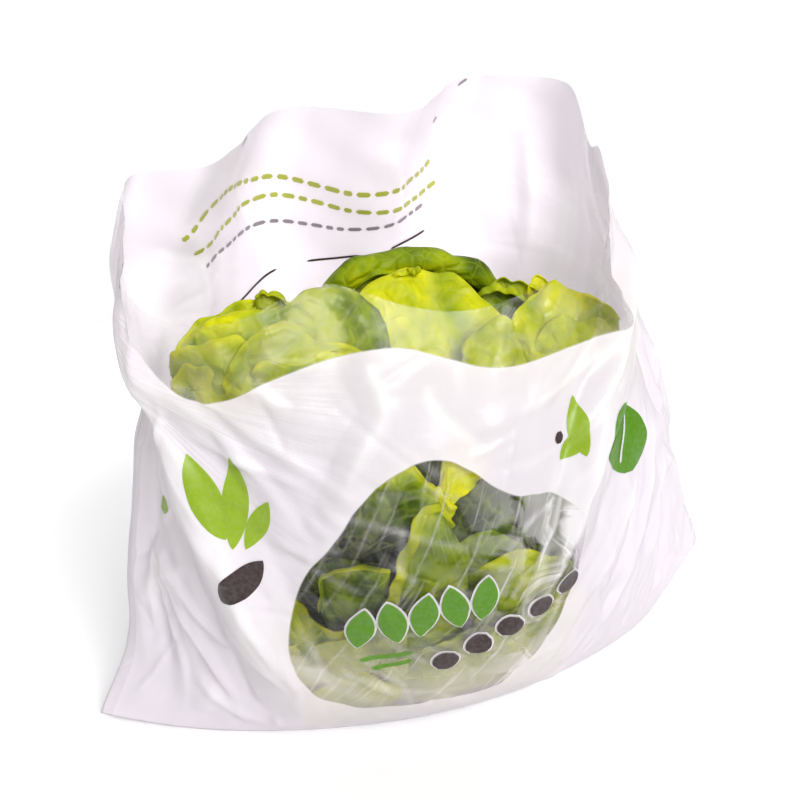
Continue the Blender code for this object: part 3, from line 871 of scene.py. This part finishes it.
windowLeaves = (
    # deep: leaves behind the others, coloured near black as painted shade in the gaps
    dict(rim=((-96, 112, 20), (-86, 150, 19), (-60, 176, 16), (-30, 188, 14), (-16, 172, 14)),
         foot=((-90, 60, 26), (-50, 60, 24), (-26, 80, 22)), belly=5, roll=(3, -60),
         tones=(1.0, 0.94, 0.66), folds=((0.3, 0.45, 3), (0.6, 0.7, 3))),
    dict(rim=((-20, 168, 14), (-6, 186, 11), (24, 182, 10), (52, 172, 10), (66, 140, 12)),
         foot=((-16, 70, 22), (20, 60, 22), (60, 70, 20)), belly=5, roll=(3, -60),
         tones=(1.0, 0.86, 0.66), folds=((0.3, 0.3, 3), (0.7, 0.6, 3))),
    # upper left: a green leaf whose edge bends over into bright yellow, with a second edge below it
    dict(rim=((-51, 168, 10), (-43, 175, 6), (-34, 178, 4), (-26, 176, 4), (-20, 168, 4), (-17, 160, 5),
              (-16, 153, 7)),
         foot=((-74, 132, 16), (-54, 134, 15), (-34, 136, 14)), belly=4, roll=(4.6, -110),
         tones=(1.0, 0.74, 0.00), folds=((0.4, 0.5, 1.8), (0.7, 0.75, 2))),
    dict(rim=((-15, 170, 8), (-12, 163, 5), (-12, 156, 4), (-14, 150, 5)),
         foot=((-22, 168, 10), (-22, 154, 9)), belly=1, roll=(1.4, -100), tones=(0.5, 0.12, 0.00)),
    # upper middle: the bright tip folded towards the film
    dict(rim=((12, 184, 6), (6, 172, 4), (-2, 168, 3), (-10, 164, 3), (-15, 160, 6)),
         foot=((-1, 192, 6), (-10, 182, 6), (-14, 170, 8)), belly=2, roll=(1.6, -70),
         tones=(0.04, 0.00, 0.00)),
    # right: an olive leaf, and the round pale one in front of it
    dict(rim=((-14, 130, 10), (-10, 139, 8), (-3, 143, 7), (6, 144, 7), (14, 141, 7), (22, 132, 9)),
         foot=((-14, 100, 12), (20, 100, 12)), belly=3, roll=(1.4, -80), tones=(0.72, 0.66, 0.46),
         folds=((0.5, 0.4, 1.6),)),
    dict(rim=((26, 172, 8), (38, 176, 6), (50, 166, 6), (56, 140, 8)),
         foot=((18, 120, 12), (50, 110, 12)), belly=3, roll=(2, -60), tones=(0.80, 0.70, 0.50),
         folds=((0.3, 0.4, 2), (0.6, 0.6, 2))),
    dict(rim=((-10, 112, 8), (-3, 123, 5), (5, 129, 3), (14, 131, 3), (25, 130, 3), (36, 123, 3),
              (48, 112, 4)),
         foot=((-6, 80, 8), (20, 74, 7), (48, 80, 7)), belly=3, roll=(1.8, -90), tones=(0.46, 0.38, 0.16),
         folds=((0.35, 0.4, 1.4), (0.6, 0.7, 1.2))),
    dict(rim=((-6, 92, 6), (8, 104, 3), (24, 110, 2), (40, 106, 2), (50, 92, 4)),
         foot=((0, 66, 7), (44, 66, 6)), belly=2, roll=(1.6, -80), tones=(0.40, 0.30, 0.16),
         folds=((0.5, 0.5, 1.2), (0.24, 0.30, -1.4))),
    # middle: the long slanted leaf, its left edge curled over
    dict(rim=((-43, 106, 8), (-40, 118, 6), (-36, 130, 5), (-31, 141, 4), (-26, 151, 4), (-20, 160, 4),
              (-16, 160, 6)),
         foot=((-14, 90, 8), (-8, 118, 7), (-9, 138, 6), (-14, 152, 6)), belly=3, roll=(5.6, 190),
         tones=(0.60, 0.52, 0.22), folds=((0.4, 0.45, 1.4), (0.7, 0.65, 1.2))),
    # lower left: the olive leaf with a folded upper edge
    dict(rim=((-77, 104, 10), (-75, 118, 8), (-72, 131, 6), (-62, 134, 5), (-52, 133, 5), (-44, 131, 6)),
         foot=((-72, 82, 10), (-56, 82, 9), (-46, 100, 9)), belly=3, roll=(2.2, 150),
         tones=(0.74, 0.62, 0.28), folds=((0.5, 0.6, 1.4), (0.3, 0.2, -1.4))),
    # bottom: pale ribbed bases with light rims, one over the other
    dict(rim=((-62, 88, 6), (-52, 100, 4), (-40, 106, 4), (-26, 108, 4), (-12, 100, 6)),
         foot=((-56, 60, 8), (-14, 60, 8)), belly=3, roll=(1.6, -80), tones=(0.50, 0.44, 0.18)),
    dict(rim=((-103, 112, 6), (-92, 119, 3), (-84, 114, 2), (-80, 104, 2), (-74, 98, 2), (-66, 97, 3),
              (-56, 102, 5)),
         foot=((-98, 60, 8), (-80, 56, 6), (-58, 68, 7)), belly=2, roll=(1.2, 120),
         tones=(0.46, 0.42, 0.12), folds=((0.4, 0.3, 1.2), (0.7, 0.6, -1.6))),
    dict(rim=((-96, 78, 4), (-86, 85, 2), (-74, 88, 2), (-62, 94, 2), (-50, 98, 2), (-38, 92, 4)),
         foot=((-90, 30, 6), (-60, 14, 6), (-40, 30, 6)), belly=2, roll=(1.2, 110),
         tones=(0.18, 0.24, 0.10), rib=0.5,
         folds=((0.5, 0.4, 1.4), (0.26, 0.20, -2.6), (0.76, 0.70, -2.6))),
    dict(rim=((-52, 66, 5), (-36, 80, 3), (-18, 86, 2), (0, 89, 2), (16, 84, 4)),
         foot=((-50, 12, 6), (12, 12, 6)), belly=2, roll=(1.2, 100), tones=(0.18, 0.24, 0.12), rib=0.5,
         folds=((0.5, 0.5, 1.2), (0.22, 0.28, -2.6), (0.78, 0.72, -2.6))),
    dict(rim=((-6, 70, 5), (10, 90, 3), (26, 98, 2), (44, 96, 3)),
         foot=((-8, 12, 6), (44, 16, 6)), belly=2, roll=(1.2, 100), tones=(0.18, 0.24, 0.12), rib=0.5,
         folds=((0.30, 0.26, -2.4), (0.72, 0.66, -2.4))),
    dict(rim=((-86, 44, 3), (-77, 52, 2), (-68, 60, 1), (-60, 65, 1), (-52, 58, 2), (-42, 50, 3)),
         foot=((-84, 10, 4), (-44, 8, 4)), belly=1, roll=(1, 90), tones=(0.20, 0.22, 0.06)),
)


def bumpy(points, size, seed):
    # the same swelling for the same place and seed
    shift = Vector((seed * 1.7, seed * -2.3, seed * 0.9))
    flat = points.reshape(-1, 3) / size
    return np.array([noise.noise(Vector(place) + shift) for place in flat]).reshape(points.shape[:2])


def unit(vectors):
    return vectors / np.maximum(np.linalg.norm(vectors, axis=-1, keepdims=True), 1e-9)


def leafGrid():
    t, s = np.meshgrid(np.linspace(0.0, 1.0, leafDetail["rows"] + 1),
                       np.linspace(0.0, 1.0, leafDetail["columns"] + 1), indexing="ij")
    return s, t


def swelling(points, seed):
    return sum(height * bumpy(points, grain, seed + 10 * number)
               for number, (grain, height) in enumerate(leafDetail["swellings"]))


def sideVeins(t, fromRib, count, slant, width):
    # 1 on each of the veins that leave the rib at a slant
    return np.exp(-(2.0 * np.abs((t * count - fromRib * slant) % 1.0 - 0.5) / width) ** 2)


def spunLeaf(leaf, onWindow, seed):
    # the blade runs in a bow from foot to rim, and the rim goes on round its roll
    s, t = leafGrid()
    foot = np.stack(followPath(metres(leaf["foot"]), s), axis=-1)
    rim = np.stack(followPath(metres(leaf["rim"]), s), axis=-1)
    upward = unit(rim - foot)
    if onWindow:
        front = np.broadcast_to((0.0, 0.0, -1.0), rim.shape)
    else:
        chord = rim[0, -1] - rim[0, 0]
        turn = math.atan2(-chord[0], chord[1]) + np.radians(leaf.get("fan", 0.0)) * (2.0 * s - 1.0)
        front = np.stack([np.cos(turn), np.sin(turn), np.zeros(s.shape)], axis=-1)
    ragged = np.array([noise.noise(Vector((place * 7.0, seed * 3.1, 0.0))) for place in s[0]])
    rim = rim + upward * (leafDetail["swellings"][0][1] * 0.9 * ragged)[None, :, None]

    radius, degrees = leaf["roll"]
    blade = 1.0 - leafDetail["rollShare"]
    q = np.minimum(t / blade, 1.0)[..., None]
    bow = (1.0 - np.abs(2.0 * s - 1.0) ** 3)[..., None] * leaf["belly"] / 1000
    near, far = [foot + (rim - foot) * up + front * (bow * share) for up, share in leafDetail["bow"]]
    points = ((1 - q) ** 3 * foot + 3 * (1 - q) ** 2 * q * near + 3 * (1 - q) * q ** 2 * far + q ** 3 * rim)
    ahead = unit(rim - far)
    over = unit(front - ahead * np.sum(front * ahead, axis=-1, keepdims=True))
    phase = np.radians(abs(degrees)) * np.maximum(t - blade, 0.0) / leafDetail["rollShare"]
    ends, more = leafDetail["rollSize"]
    size = radius / 1000 * (ends + more * np.sin(math.pi * s) ** 0.5)
    size = size * (1.0 + leafDetail["raggedRoll"] * ragged[None, :])
    points = points + ahead * (size * np.sin(phase))[..., None]
    points = points + over * (math.copysign(1.0, degrees) * size * (1.0 - np.cos(phase)))[..., None]

    # soft folds that run from foot to rim, a waved rim, ribs and swellings
    loose = ease(t, 0.0, 0.25) * (1.0 - 0.7 * ease(t, blade, 1.0))
    relief = np.zeros(s.shape)
    for start, end, height in leaf.get("folds", ()):
        fromFold = np.abs(s - start - (end - start) * t) / leafDetail["foldWidth"]
        relief += height / 1000 * np.exp(-fromFold ** 1.5)
    wave = leaf.get("wave", leafDetail["wave"]) / 1000
    relief = relief + wave * np.sin(2 * math.pi * (2.3 * s + 0.37 * seed)) * ease(t, 0.4, 0.9)
    width = np.linalg.norm(rim[0, -1] - rim[0, 0])
    ribbed = "rib" in leaf
    fromRib = s - leaf.get("rib", 0.45 + 0.1 * math.sin(seed * 2.1))
    atRim, atFoot = leafDetail["ribWidth"]
    rib = np.exp(-(fromRib * width / (atRim + atFoot * (1.0 - t))) ** 2) * (1.0 - ease(t, 0.55, 0.9))
    veins = sideVeins(t, np.abs(fromRib), 6.0, 4.6, 0.14)
    veins = veins * ease(np.abs(fromRib), 0.02, 0.10) * (1.0 - ease(t, 0.6, 0.9))
    flat = points if not onWindow else points * (1.0, 1.0, 1.6)
    ribHeight = leafDetail["ribHeight"] * (1.0 if ribbed else leafDetail["faintRib"])
    relief = relief + loose * (swelling(flat, seed) + ribHeight * rib + leafDetail["veinHeight"] * veins)
    strength = np.stack([relief, relief, relief], axis=-1)
    if onWindow:
        points = points + front * strength
        points[..., 2] = np.maximum(points[..., 2], leafDetail["leastGap"])
        places = onFilm(filmSmooth, filmOut, "front", points[..., 0], points[..., 1], -points[..., 2])
    else:
        places = points + gridNormals(points) * strength
        places = places + (headMiddle.x, headMiddle.y, bagLow.z)

    # colour from foot to rim; a darker foot or middle is partly painted shade deep in the head
    footTone, bladeTone, rimTone = leaf["tones"]
    tone = footTone + (bladeTone - footTone) * ease(t, 0.05, 0.5)
    tone = tone + (rimTone - bladeTone) * ease(t, 0.55, 0.95)
    start, end, amount = leaf.get("shade", (0.0, 1.0, 0.0))
    tone = tone + amount * ease(s, start, end) - 120.0 * np.minimum(relief, 0.0)   # painted shade: the shade band, and the leaf's hollows, turn darker
    tone = tone + 0.24 * bumpy(flat, 0.016, seed + 3) + 0.12 * bumpy(flat, 0.005, seed + 5)
    pale = 0.6 * rib * (1.0 if ribbed else 0.35) + 0.22 * veins
    if ribbed:
        pale = pale + 0.9 * (1.0 - ease(t, 0.3, 0.9))
    return {"points": places, "map": np.stack([s * width, t * 0.05], axis=-1),
            "tone": np.clip(tone, 0.0, 1.0), "pale": np.clip(pale, 0.0, 1.0)}


def bladeLeaf(facing, line, halfWidth, bend, tone, wave, seed):
    # a whole leaf of the head: a stalk at the foot, then a cupped blade along its line (out, up)
    s, t = leafGrid()
    s = 2.0 * s - 1.0
    reach = t * (1.0 - 0.20 * np.abs(s) ** 2.4 * t ** 2)   # the tip's corners fall back
    out, up = followPath(line, reach)
    nextOut, nextUp = followPath(line, np.minimum(reach + 0.002, 1.0))
    lastOut, lastUp = followPath(line, np.maximum(reach - 0.002, 0.0))
    length = np.hypot(nextOut - lastOut, nextUp - lastUp)
    normalOut, normalUp = (nextUp - lastUp) / length, -(nextOut - lastOut) / length
    half = halfWidth * follow((0.0, 0.15, 0.40, 0.65, 0.85, 1.0), (0.34, 0.48, 0.84, 1.0, 0.93, 0.72), reach)
    swing = s * half / bend
    drop = bend * (1.0 - np.cos(swing))
    side = bend * np.sin(swing)
    out, up = out - normalOut * drop, up - normalUp * drop
    turn = math.radians(facing)
    points = np.stack([headMiddle.x + out * math.cos(turn) - side * math.sin(turn),
                       headMiddle.y + out * math.sin(turn) + side * math.cos(turn), up], axis=-1)
    rib = np.exp(-(s * half / (0.0022 + 0.0060 * (1.0 - t) ** 1.5)) ** 2) * (1.0 - 0.9 * t)
    relief = leafDetail["ribHeight"] * rib * (1.0 - t) ** 0.6
    relief = relief + swelling(points, seed) * (0.35 + 0.65 * ease(t, 0.0, 0.35))
    relief = relief + wave * np.abs(s) ** 3 * np.sin(2.0 * math.pi * (2.6 * t + 0.37 * seed) + s)
    relief = relief + 0.8 * wave * ease(t, 0.80, 1.0) * np.sin(2.0 * math.pi * (0.9 * s + 0.21 * seed))
    veins = sideVeins(t, np.abs(s), 9.0, 2.2, 0.16)
    veins = veins * (1.0 - ease(np.abs(s), 0.55, 0.95)) * ease(np.abs(s), 0.02, 0.12)
    relief = relief + 0.0004 * veins * (1.0 - 0.6 * t)
    shade = tone + 0.16 * bumpy(points, 0.030, seed + 3) - 0.22 * (1.0 - ease(t, 0.05, 0.55))
    pale = rib * 0.9 + 0.25 * veins * (1.0 - t) + 0.55 * (1.0 - ease(t, 0.0, 0.32))
    return {"points": points + gridNormals(points) * relief[..., None],
            "map": np.stack([s * half, t * 0.16], axis=-1),
            "tone": np.clip(shade, 0.0, 1.0), "pale": np.clip(pale, 0.0, 1.0)}


def pressUnderFilm(points):
    # brings what would pass through the bag's wall back to just behind it
    flat = points.reshape(-1, 3).copy()
    for index, place in enumerate(flat):
        axis = Vector((headMiddle.x, headMiddle.y, place[2]))
        outward = Vector(place) - axis
        distance = outward.length
        if distance < leafDetail["nearAxis"]:
            continue
        hit = filmTree.ray_cast(axis, outward / distance)
        if hit[0] is not None:
            room = hit[3] - leafDetail["filmGap"]
            over = distance - room
            softly = 0.5 * (over + math.hypot(over, leafDetail["softness"]))
            flat[index] = axis + outward * ((distance - softly) / distance)
    return flat.reshape(points.shape)


def innerLeaves():
    # the rest of the head: turned by the golden angle, from the loose outer leaves to the heart
    dice = np.random.default_rng(leafDetail["seeds"]["draws"])
    leaves = []
    for index in range(leafDetail["headCount"]):
        order = index / (leafDetail["headCount"] - 1)
        facing = (leafDetail["goldenAngle"] * index + 20 + dice.uniform(-10, 10)) % 360 - 180
        turn = math.radians(facing)
        girth = 1.0 / math.hypot(math.cos(turn) / 0.090, math.sin(turn) / 0.058)
        girth = girth * (1.0 - 0.62 * order)
        top = 0.160 + 0.034 * order + dice.uniform(-0.008, 0.006)
        hood = 0.30 + 0.5 * order
        line = ((0.012, 0.008), (girth * 0.70, 0.050), (girth, 0.105), (girth * 0.96, top - 0.030),
                (girth * (1.0 - hood * 0.45), top - 0.006), (girth * (1.0 - hood), top))
        leaves.append((facing, line, 0.056 - 0.022 * order, max(0.9 * girth, 0.022),
                       0.85 - 0.45 * order + dice.uniform(-0.06, 0.06), 0.003 - 0.001 * order))
    return leaves


leafLook = {
    "tones": ((0.0, "f4f00a"), (0.25, "c8d004"), (0.5, "92a804"), (0.75, "587006"), (1.0, "1e2a06")),
    "rib": "e4e6a6",
    "vein": "b8cc3c", "veinAmount": 0.22,
    "index": 1.36, "specular": 0.35,
    "glow": 0.30,             # share of the light that goes through
    "wax": (0.36, 0.50),      # roughness, from the waxy patches to the dull ones
}


def butterheadLeaf():
    # soft lettuce leaf, smooth and a little waxy: yellow-green blades that glow where light
    # passes through them, paler towards the ribs and the stalk
    material, add = startFinish("butterheadLeaf")
    # the tone holds the leaf's colour and, in it, painted shade: darker feet, shade bands and hollows
    tone = add("Attribute", attribute_name="tone")
    pale = add("Attribute", attribute_name="pale")
    place = add("TexCoord").outputs["Object"]
    mottle = add("TexNoise", {"Vector": place, "Scale": 70.0, "Detail": 4.0, "Roughness": 0.6})
    uneven = add("Math", [mottle, 0.34, -0.17], operation="MULTIPLY_ADD")
    mixed = add("Math", [tone.outputs["Fac"], uneven], operation="ADD", use_clamp=True)
    blade = add("ValToRGB", {"Fac": mixed})
    fillRamp(blade.color_ramp, leafLook["tones"])
    ribbed = add("Mix", {0: pale.outputs["Fac"], 6: blade, 7: linearColour(leafLook["rib"])},
                 data_type="RGBA")

    # branching veins about 9 mm apart, paler than the blade and sunk between its soft cushions,
    # with veinlets about 2 mm apart between them
    stray = add("TexNoise", {"Vector": place, "Scale": 60.0, "Detail": 2.0})
    strayed = add("VectorMath", [stray.outputs["Color"], (0.012, 0.012, 0.012), place],
                  operation="MULTIPLY_ADD")
    branches = add("TexVoronoi", {"Vector": strayed, "Scale": 110.0}, feature="DISTANCE_TO_EDGE")
    branch = add("MapRange", [branches, 0.0, 0.08, leafLook["veinAmount"], 0.0])
    veined = add("Mix", {0: branch, 6: ribbed.outputs[2], 7: linearColour(leafLook["vein"])},
                 data_type="RGBA")
    cushion = add("MapRange", [branches, 0.0, 0.30], interpolation_type="SMOOTHSTEP")
    cushions = add("Bump", {"Strength": 0.55, "Distance": 0.0014, "Height": cushion})
    net = add("TexVoronoi", {"Vector": place, "Scale": 420.0}, feature="DISTANCE_TO_EDGE")
    skin = add("TexNoise", {"Vector": place, "Scale": 900.0, "Detail": 2.0})
    height = add("Math", [skin, 0.35, net], operation="MULTIPLY_ADD")
    bump = add("Bump", {"Strength": 0.30, "Distance": 0.0003, "Height": height, "Normal": cushions})
    wax = add("MapRange", {0: mottle, 3: leafLook["wax"][0], 4: leafLook["wax"][1]})
    blade = add("BsdfPrincipled", {
        "Base Color": veined.outputs[2], "Roughness": wax, "IOR": leafLook["index"],
        "Specular IOR Level": leafLook["specular"], "Normal": bump})
    glow = add("BsdfTranslucent", {"Color": veined.outputs[2]})
    whole = add("MixShader", [leafLook["glow"], blade, glow])
    add("OutputMaterial", {"Surface": whole})
    return material


leafFinish = butterheadLeaf()
seeds = leafDetail["seeds"]
leafGroups = {
    "mouthLeaves": [spunLeaf(leaf, False, seed) for seed, leaf in enumerate(mouthLeaves, seeds["mouth"])],
    "windowLeaves": [spunLeaf(leaf, True, seed) for seed, leaf in enumerate(windowLeaves, seeds["window"])],
    "headLeaves": [bladeLeaf(*leaf, seed) for seed, leaf in enumerate(innerLeaves(), seeds["head"])],
}
for name, sheets in leafGroups.items():
    for sheet in sheets:
        sheet["points"] = pressUnderFilm(sheet["points"])
        sheet["points"][..., 2] = np.maximum(sheet["points"][..., 2], leafDetail["floorGap"])
    leaves = layGrids(name, sheets, leafFinish, wall=leafDetail["thickness"])
    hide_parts("lettuce_head")
    print(name, len(sheets), "leaves")


lighting = {
    "paper": "f4f4f4",
    "room": 0.42,
    # broad even lamps, each with the direction it comes from, its spread in degrees and its
    # strength: the key from the front right, a fill from the front and one from above
    "lamps": {
        "keyLamp": ((0.26, -0.81, 0.80), 30.0, 2.32),
        "fillLamp": ((-0.05, -0.90, 0.50), 40.0, 0.48),
        "topLamp": ((0.00, 0.20, 1.00), 40.0, 0.50),
    },
    # a soft box close behind the bag lights its back panel through the film
    "softBox": {"size": (0.50, 0.24), "power": 1.2, "right": 0.06, "behind": 0.34, "belowLip": 0.07},
}
view = {"azimuth": -20.0, "elevation": 29.5, "distance": 0.62, "lens": 50.0, "sensor": 36.0,
        "aim": (0.0059, 0.0569, -0.0240)}


def studio():
    floorShape = bmesh.new()
    bmesh.ops.create_grid(floorShape, x_segments=1, y_segments=1, size=4.0)
    bmesh.ops.translate(floorShape, verts=floorShape.verts, vec=(0.0, 0.0, bagLow.z - 0.0006))
    floorMesh = bpy.data.meshes.new("floor")
    floorShape.to_mesh(floorMesh)
    floorShape.free()
    paper = bpy.data.materials.new("matPaper")
    paper.use_nodes = True
    surface = paper.node_tree.nodes["Principled BSDF"].inputs
    surface["Base Color"].default_value = linearColour(lighting["paper"])
    surface["Roughness"].default_value = 0.9
    floorMesh.materials.append(paper)
    floor = addObject("floor", floorMesh)

    world = bpy.data.worlds.new("softRoom")
    bpy.context.scene.world = world
    world.use_nodes = True
    room = world.node_tree.nodes["Background"].inputs
    room["Color"].default_value = (1.0, 1.0, 1.0, 1.0)
    room["Strength"].default_value = lighting["room"]

    for name, (place, spread, power) in lighting["lamps"].items():
        lamp = bpy.data.lights.new(name, "SUN")
        lamp.angle = math.radians(spread)
        lamp.energy = power
        addObject(name, lamp).rotation_euler = (-Vector(place)).to_track_quat("-Z", "Y").to_euler()

    box = lighting["softBox"]
    softBox = bpy.data.lights.new("softBox", "AREA")
    softBox.shape = "RECTANGLE"
    softBox.size, softBox.size_y = box["size"]
    softBox.energy = box["power"]
    light = addObject("softBox", softBox)
    light.location = (bagMiddle.x + box["right"], bagHigh.y + box["behind"], bagHigh.z - box["belowLip"])
    light.rotation_euler = Vector((0.0, -1.0, -0.12)).to_track_quat("-Z", "Z").to_euler()


def camera():
    turn, tilt = math.radians(view["azimuth"]), math.radians(view["elevation"])
    back = Vector((math.sin(turn) * math.cos(tilt), -math.cos(turn) * math.cos(tilt), math.sin(tilt)))
    lens = bpy.data.cameras.new("camera")
    lens.lens = view["lens"]
    lens.sensor_width = view["sensor"]
    body = addObject("camera", lens)
    body.location = bagMiddle + Vector(view["aim"]) + back * view["distance"]
    body.rotation_euler = (-back).to_track_quat("-Z", "Y").to_euler()
    bpy.context.scene.camera = body


studio()
camera()
bpy.context.scene.view_settings.view_transform = "Standard"
print("ready to render")
